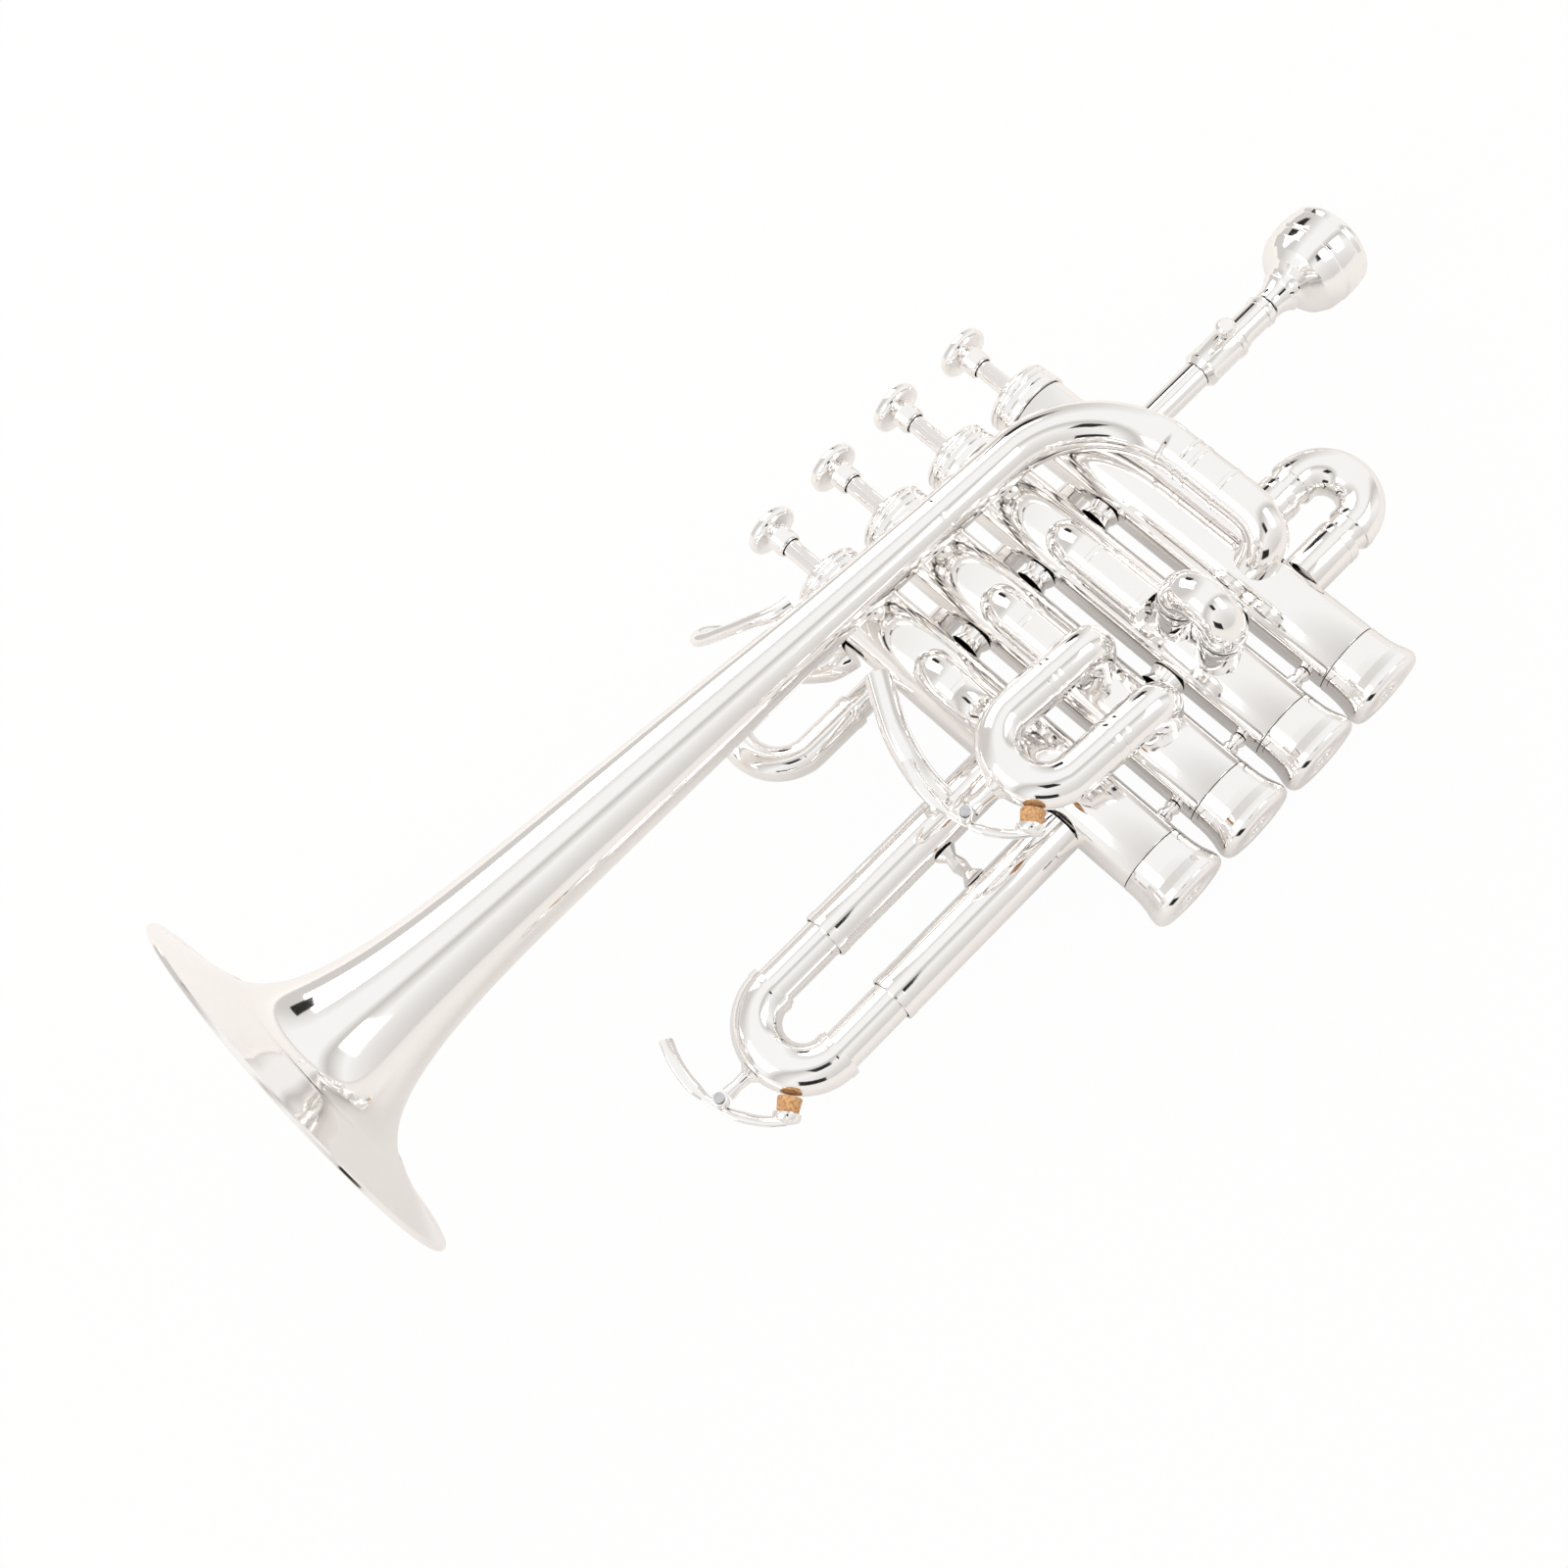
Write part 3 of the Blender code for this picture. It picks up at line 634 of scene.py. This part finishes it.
def makeThirdSlide(d):
    r, high, low, rise = d["radius"], d["high"], d["low"], d["rise"]
    lipX, lipY, lipUp = d["lip"]
    ringX, ringY, ringUp = d["ring"]
    for tag, z in (("upper", high), ("lower", low)):
        node = "slide3_%s_sleeve" % tag
        name = "slide3" + tag.title()
        piped(name + "Elbow", node, [(x, y, z + up) for x, y, up in d["elbow"]], r)
        band(name + "Lip", node, (lipX, lipY, z + lipUp), (-1, 0, rise), r, sleeveDims["lipHeight"])
        band(name + "Ring", node, (ringX, ringY, z + ringUp), (0, -1, 0), r, d["ringHeight"])
    along = Vector((-1, 0, rise)).normalized()
    x, y, over = d["middle"]
    middle = Vector((x, y, (high + low) / 2 + over * rise))
    side = Vector((rise, 0, 1)).normalized() * (high - low) / 2
    bend = []
    for i in range(bowDims["turns"] + 1):
        a = math.pi * i / bowDims["turns"]
        bend.append(middle + side * math.cos(a) + along * side.length * math.sin(a))
    ferrule, leg = along * d["ferrule"], along * d["leg"]
    run = [middle + side - leg, middle + side - ferrule] + bend
    run += [middle - side - ferrule, middle - side - leg]
    makeBow("slide3_bow", run, r, d["legPoints"], bowDims)
    return middle


for number, dims in slideDims.items():
    makeStraightSlide(number, dims)
thirdMiddle = makeThirdSlide(thirdDims)
print("slides made")

keyDims = {
    "cork": 215.0,  # angles round the bow's centre, in degrees
    "pivot": 178.0,
    "tip": 141.0,
    "lift": 9.5,  # how far the lever's tip stands off
    "corkFoot": 0.5,
    "corkTop": 4.7,
    "lever": 1.7,
    "leverSwell": [1.0] * 5 + [0.75] * 3 + [1.15] * 5,
    "leverFlat": 0.5,
    "leverRise": 1.3,
    "corkProfile": [(0, 4.2), (2.3, 4.2), (2.6, 3.9), (3.0, 0.3), (2.8, 0), (0, 0)],
    "cupProfile": [
        (0, 1.8), (1.6, 1.7), (3.0, 1.1), (3.4, 0.4), (3.4, -0.6), (3.1, -0.6), (3.1, 0), (0, 0),
    ],
    "cupRise": 0.3,
    "barrelProfile": [(1.9, 2.6), (1.9, -2.6), (0.95, -2.6), (0.95, 2.6)],
    "pivotDrop": 1.6,
    "postSink": 0.6,
    "postGap": 2.2,
    "postHead": ((0, 1), (1.9, 1), (1.5, 0.6)),  # radius and share of the post's reach
    "postFoot": ((1.8, 1.6), (3.4, 0), (0, 0)),
    "edge": 0.15,
}


def makeKey(tag, centre, outer, d):
    def at(angle, far):
        a = math.radians(angle)
        return Vector(centre) + Vector((far * math.cos(a), 0, far * math.sin(a)))
    corkTop = outer + d["corkTop"]
    base = corkTop + d["leverRise"]
    steps = len(d["leverSwell"]) - 1
    run = []
    for i in range(steps + 1):
        share = i / steps
        run.append(tuple(at(d["cork"] + (d["tip"] - d["cork"]) * share, base + d["lift"] * share)))
    lever = tag + "_key_lever"
    piped(tag + "Lever", lever, run, d["lever"], d["leverSwell"], flat=d["leverFlat"])
    outward = (at(d["cork"], 1.0) - Vector(centre)).normalized()
    corkPlace = at(d["cork"], outer + d["corkFoot"])
    spun(tag + "Cork", tag + "_key_cork", d["corkProfile"], corkPlace, outward, loop=False)
    cupPlace = at(d["cork"], corkTop + d["cupRise"])
    spun(tag + "Cup", lever, d["cupProfile"], cupPlace, outward, loop=False, replaces=False)
    share = (d["pivot"] - d["cork"]) / (d["tip"] - d["cork"])
    pivot = at(d["pivot"], base + d["lift"] * share - d["pivotDrop"])
    spun(tag + "Barrel", lever, d["barrelProfile"], pivot, (0, 1, 0), replaces=False, soften=d["edge"])
    start = at(d["pivot"], outer - d["postSink"])
    reach = (pivot - start).length - d["postGap"]
    post = [(r, reach * share) for r, share in d["postHead"]] + list(d["postFoot"])
    spun(tag + "Post", tag + "_bow", post, start, pivot - start, loop=False, replaces=False)


# each bow's centre and the radius of its outside
keyPlaces = {"slide4": ((-156.4, 0, -30.0), 17.4), "slide3": (thirdMiddle, 16.0)}
for tag, (centre, outer) in keyPlaces.items():
    makeKey(tag, centre, outer, keyDims)

leadDims = {
    "y": 13.7,
    "z": 21.5,
    "front": -88.0,
    "pipe": [(3.9, 130), (3.9, 0), (3.3, 0), (3.3, 130)],
    "receiverStart": 42.3,
    "receiver": [
        (5.0, 14.7), (5.4, 14.2), (5.4, 12.9), (5.1, 12.6), (5.1, 3.0),
        (5.3, 2.6), (5.3, 1.6), (3.95, 0), (3.7, 0), (3.7, 14.7),
    ],
    "shankStart": 57.3,
    "shank": [
        (4.1, 12), (4.6, 11), (4.6, 9.5), (4.2, 9.2), (4.2, 1.5), (4.6, 1.2),
        (4.6, 0), (3.4, 0), (3.4, -12), (2.9, -12), (2.9, 12),
    ],
    "cupStart": 70,
    "cup": [
        (8.6, 27), (9.6, 27.0), (11.4, 26.8), (12.5, 26.0), (12.9, 24.8), (12.6, 23.6), (13.2, 23.0),
        (13.3, 21.0), (13.3, 18.0), (12.8, 17.2), (13.0, 16.6), (12.7, 14.0), (11.2, 11.2), (8.6, 9.2),
        (6.4, 7.8), (5.6, 6.6), (6.0, 5.8), (5.2, 4.8), (4.2, 2.4), (4.1, 0), (2.5, 0), (2.4, -8),
        (1.3, -8), (1.3, 13), (3.0, 14.2), (5.6, 16.4), (7.4, 20.4), (8.1, 25.6),
    ],
    "knobPlace": (53.5, -5.6, 1.0),  # y and z from the mouthpipe's axis
    "knob": [
        (0, 4.3), (1.8, 4.2), (2.5, 3.7), (2.8, 3.0), (2.8, 2.2), (2.3, 1.5), (1.4, 1.0), (1.4, 0), (0, 0),
    ],
    "edge": 0.15,
}


def makeLead(d):
    y, z = d["y"], d["z"]
    along = (1, 0, 0)
    spun("mouthpipe", "leadpipe", d["pipe"], (d["front"], y, z), along)
    spun("receiverTube", "receiver", d["receiver"], (d["receiverStart"], y, z), along)
    spun("shankTube", "mouthpiece_shank", d["shank"], (d["shankStart"], y, z), along)
    spun("cupPiece", "mouthpiece", d["cup"], (d["cupStart"], y, z), along, soften=d["edge"])
    x, stepY, stepZ = d["knobPlace"]
    spun("clampKnob", "clamp_screw", d["knob"], (x, y + stepY, z + stepZ), (0, -1, 0), loop=False)


crookDims = {
    "gap": 0.3,
    "radius": 4.5,
    "bend": 12,
    "lead": 15,
    "turns": 12,
    "back": ((-10, 0, 0), (-5, -0.5, -1.6), (-1.6, -2.4, -6.2)),  # from the front end, at the top
    "into": ((-85.5, -5.2, -12), (-82.4, -8.4, -14.6), (-80, -9.6, -15.6)),
    "band": (-1.0, 2.4, 0.2),  # place from the front end, height and lip
}


def makeCrook(d):
    y, z = leadDims["y"], leadDims["z"]
    front = leadDims["front"] - d["gap"]
    top = z + 2 * d["bend"]
    centre = (front - d["lead"], y, z + d["bend"])
    run = [(front, y, z)] + arcRun(centre, d["bend"], 270, 90, d["turns"])
    run += [(front + dx, y + dy, top + dz) for dx, dy, dz in d["back"]]
    run += [(x, y + dy, top + dz) for x, dy, dz in d["into"]]
    piped("crookTube", "front_crook", run, d["radius"])
    step, height, lip = d["band"]
    band("crookBand", "front_crook", (front + step, y, z), (1, 0, 0), d["radius"], height, lip)


makeLead(leadDims)
makeCrook(crookDims)

fittingDims = {
    "hook": [
        (-86, -16.8, 42.4), (-90.5, -16, 43.8), (-95, -13, 47.6), (-99, -8, 52),
        (-103, -2.6, 56.6), (-104.5, 1.4, 60), (-101.5, 3.6, 60.6), (-97, 4.2, 57.2),
    ],
    "hookRadius": 1.9,
    "hookSwell": [1.2, 1.1, 0.9, 0.85, 0.9, 1.0, 1.0, 0.8],
    "strap": [
        (-84.4, -14.0, 14.5), (-88.2, -13.4, 8), (-91.9, -12.6, 1),
        (-94.3, -11.8, -6), (-95.6, -10.8, -12.5), (-95.8, -9.9, -18.8),
    ],
    "strapRadius": 3.4,
}
piped("fingerHook", "finger_hook", fittingDims["hook"], fittingDims["hookRadius"], fittingDims["hookSwell"])
piped("handStrap", "hand_ring", fittingDims["strap"], fittingDims["strapRadius"])
print("mouthpipe and fittings made")

cameraLook = {
    "place": (-205.8, -485.4, -142.2),
    "ahead": (0.171, 0.9369, 0.305),
    "up": (0.6886, -0.335, 0.6431),
    "lens": 48.375,
    "film": 36,
    "near": 0.01,
}


def makeCamera(d):
    data = bpy.data.cameras.new("photoCamera")
    data.lens = d["lens"]
    data.sensor_width = d["film"]
    data.clip_start = d["near"]
    camera = bpy.data.objects.new("photoCamera", data)
    bpy.context.scene.collection.objects.link(camera)
    ahead = Vector(d["ahead"]).normalized()
    right = ahead.cross(Vector(d["up"])).normalized()
    turn = Matrix((right, right.cross(ahead), -ahead)).transposed().to_4x4()
    camera.matrix_world = Matrix.Translation(spot(d["place"])) @ turn
    bpy.context.scene.camera = camera


# a flat square that isn't part of the instrument
def makeSheet(name, place, faces, half):
    shape = bmesh.new()
    turn = Vector((0, 0, 1)).rotation_difference(Vector(faces)).to_matrix().to_4x4()
    lay = Matrix.Translation(place) @ turn
    bmesh.ops.create_grid(shape, x_segments=1, y_segments=1, size=half, matrix=lay)
    mesh = bpy.data.meshes.new(name)
    shape.to_mesh(mesh)
    shape.free()
    sheet = bpy.data.objects.new(name, mesh)
    bpy.context.scene.collection.objects.link(sheet)
    return sheet


# dark cards that only the metal sees give it the short black accents
cardLook = {
    "lowCard": ((-0.62, -0.16, -0.66), 0.24),
    "highCard": ((0.55, -0.3, 0.95), 0.15),
    "frontCard": ((-0.25, -1.1, -0.35), 0.15),
}
clothLook = {"Base Color": (0.01, 0.01, 0.01, 1), "Roughness": 1.0}


def makeCard(name, place, half):
    card = makeSheet(name, Vector(place), -Vector(place), half)
    card.visible_camera = False
    card.visible_diffuse = False
    card.visible_shadow = False
    card.data.materials.append(newMaterial(name + "Cloth", clothLook)[0])


# the paper that the instrument lies on in the photo, at its right side; seen from behind it is clear
floorLook = {
    "place": (-250.4, 36.5, 40.0),
    "faces": (0, -0.981, 0.194),
    "half": 2.5,
    "colour": (0.73, 0.695, 0.665, 1),
    "glow": 0.97,  # share of plain white that the camera sees
    "sheen": 0.26,  # the same in the metal's reflections
}


def makeFloor(d):
    floor = makeSheet("floor", spot(d["place"]), d["faces"], d["half"])
    made = bpy.data.materials.new("floorPaper")
    made.use_nodes = True
    made.node_tree.nodes.clear()
    net = Shader(made.node_tree)
    seen = net.node("ShaderNodeLightPath", out=0)
    mirrored = net.node("ShaderNodeLightPath", out=3)
    paper = net.node("ShaderNodeBsdfDiffuse", None, {"Color": d["colour"]})
    glow = net.node("ShaderNodeEmission", None, {"Color": (1, 1, 1, 1), "Strength": 1.0})
    share = seen * d["glow"] + mirrored * d["sheen"]
    shown = net.node("ShaderNodeMixShader", None, {0: share, 1: paper, 2: glow})
    behind = net.node("ShaderNodeNewGeometry", out=6)
    clear = net.node("ShaderNodeBsdfTransparent")
    both = net.node("ShaderNodeMixShader", None, {0: behind, 1: shown, 2: clear})
    net.node("ShaderNodeOutputMaterial", None, {0: both})
    floor.data.materials.append(made)


worldLook = {
    "strength": 0.97,
    "bands": [  # from straight below to straight above
        (0.0, (0.7, 0.68, 0.66, 1)), (0.28, (1, 1, 1, 1)), (0.42, (0.62, 0.6, 0.58, 1)),
        (0.5, (1, 1, 1, 1)), (0.7, (1, 1, 1, 1)), (0.86, (0.68, 0.66, 0.64, 1)),
    ],
}


def makeWorld(d):
    world = bpy.data.worlds.new("studio")
    bpy.context.scene.world = world
    world.use_nodes = True
    world.node_tree.nodes.clear()
    net = Shader(world.node_tree)
    coords = net.node("ShaderNodeTexCoord", out=0)
    height = net.node("ShaderNodeSeparateXYZ", None, {0: coords}, 2) * 0.5 + 0.5
    tone = net.node("ShaderNodeValToRGB", {"stops": d["bands"]}, {"Fac": height})
    lit = net.node("ShaderNodeBackground", None, {"Color": tone, "Strength": d["strength"]})
    plain = net.node("ShaderNodeBackground", None, {"Color": (1, 1, 1, 1), "Strength": 1.0})
    seen = net.node("ShaderNodeLightPath", out=0)
    both = net.node("ShaderNodeMixShader", None, {0: seen, 1: lit, 2: plain})
    net.node("ShaderNodeOutputWorld", None, {0: both})


# place in metres, size and power
lampLook = {
    "softboxTop": ((0.2, -0.5, 1.0), 0.7, 5),
    "softboxSide": ((-0.9, -0.7, 0.3), 0.6, 3),
    "softboxLow": ((0.6, -0.9, -0.4), 0.5, 2),
}
lampAim = Vector((0, 0, 0.07))


def makeLamp(name, place, size, power):
    data = bpy.data.lights.new(name, "AREA")
    data.size = size
    data.energy = power
    lamp = bpy.data.objects.new(name, data)
    bpy.context.scene.collection.objects.link(lamp)
    lamp.location = place
    lamp.rotation_euler = (lampAim - Vector(place)).to_track_quat("-Z", "Y").to_euler()


makeCamera(cameraLook)
for name, (place, half) in cardLook.items():
    makeCard(name, place, half)
makeFloor(floorLook)
makeWorld(worldLook)
for name, (place, size, power) in lampLook.items():
    makeLamp(name, place, size, power)
bpy.context.scene.view_settings.view_transform = "Standard"
print("stage made")
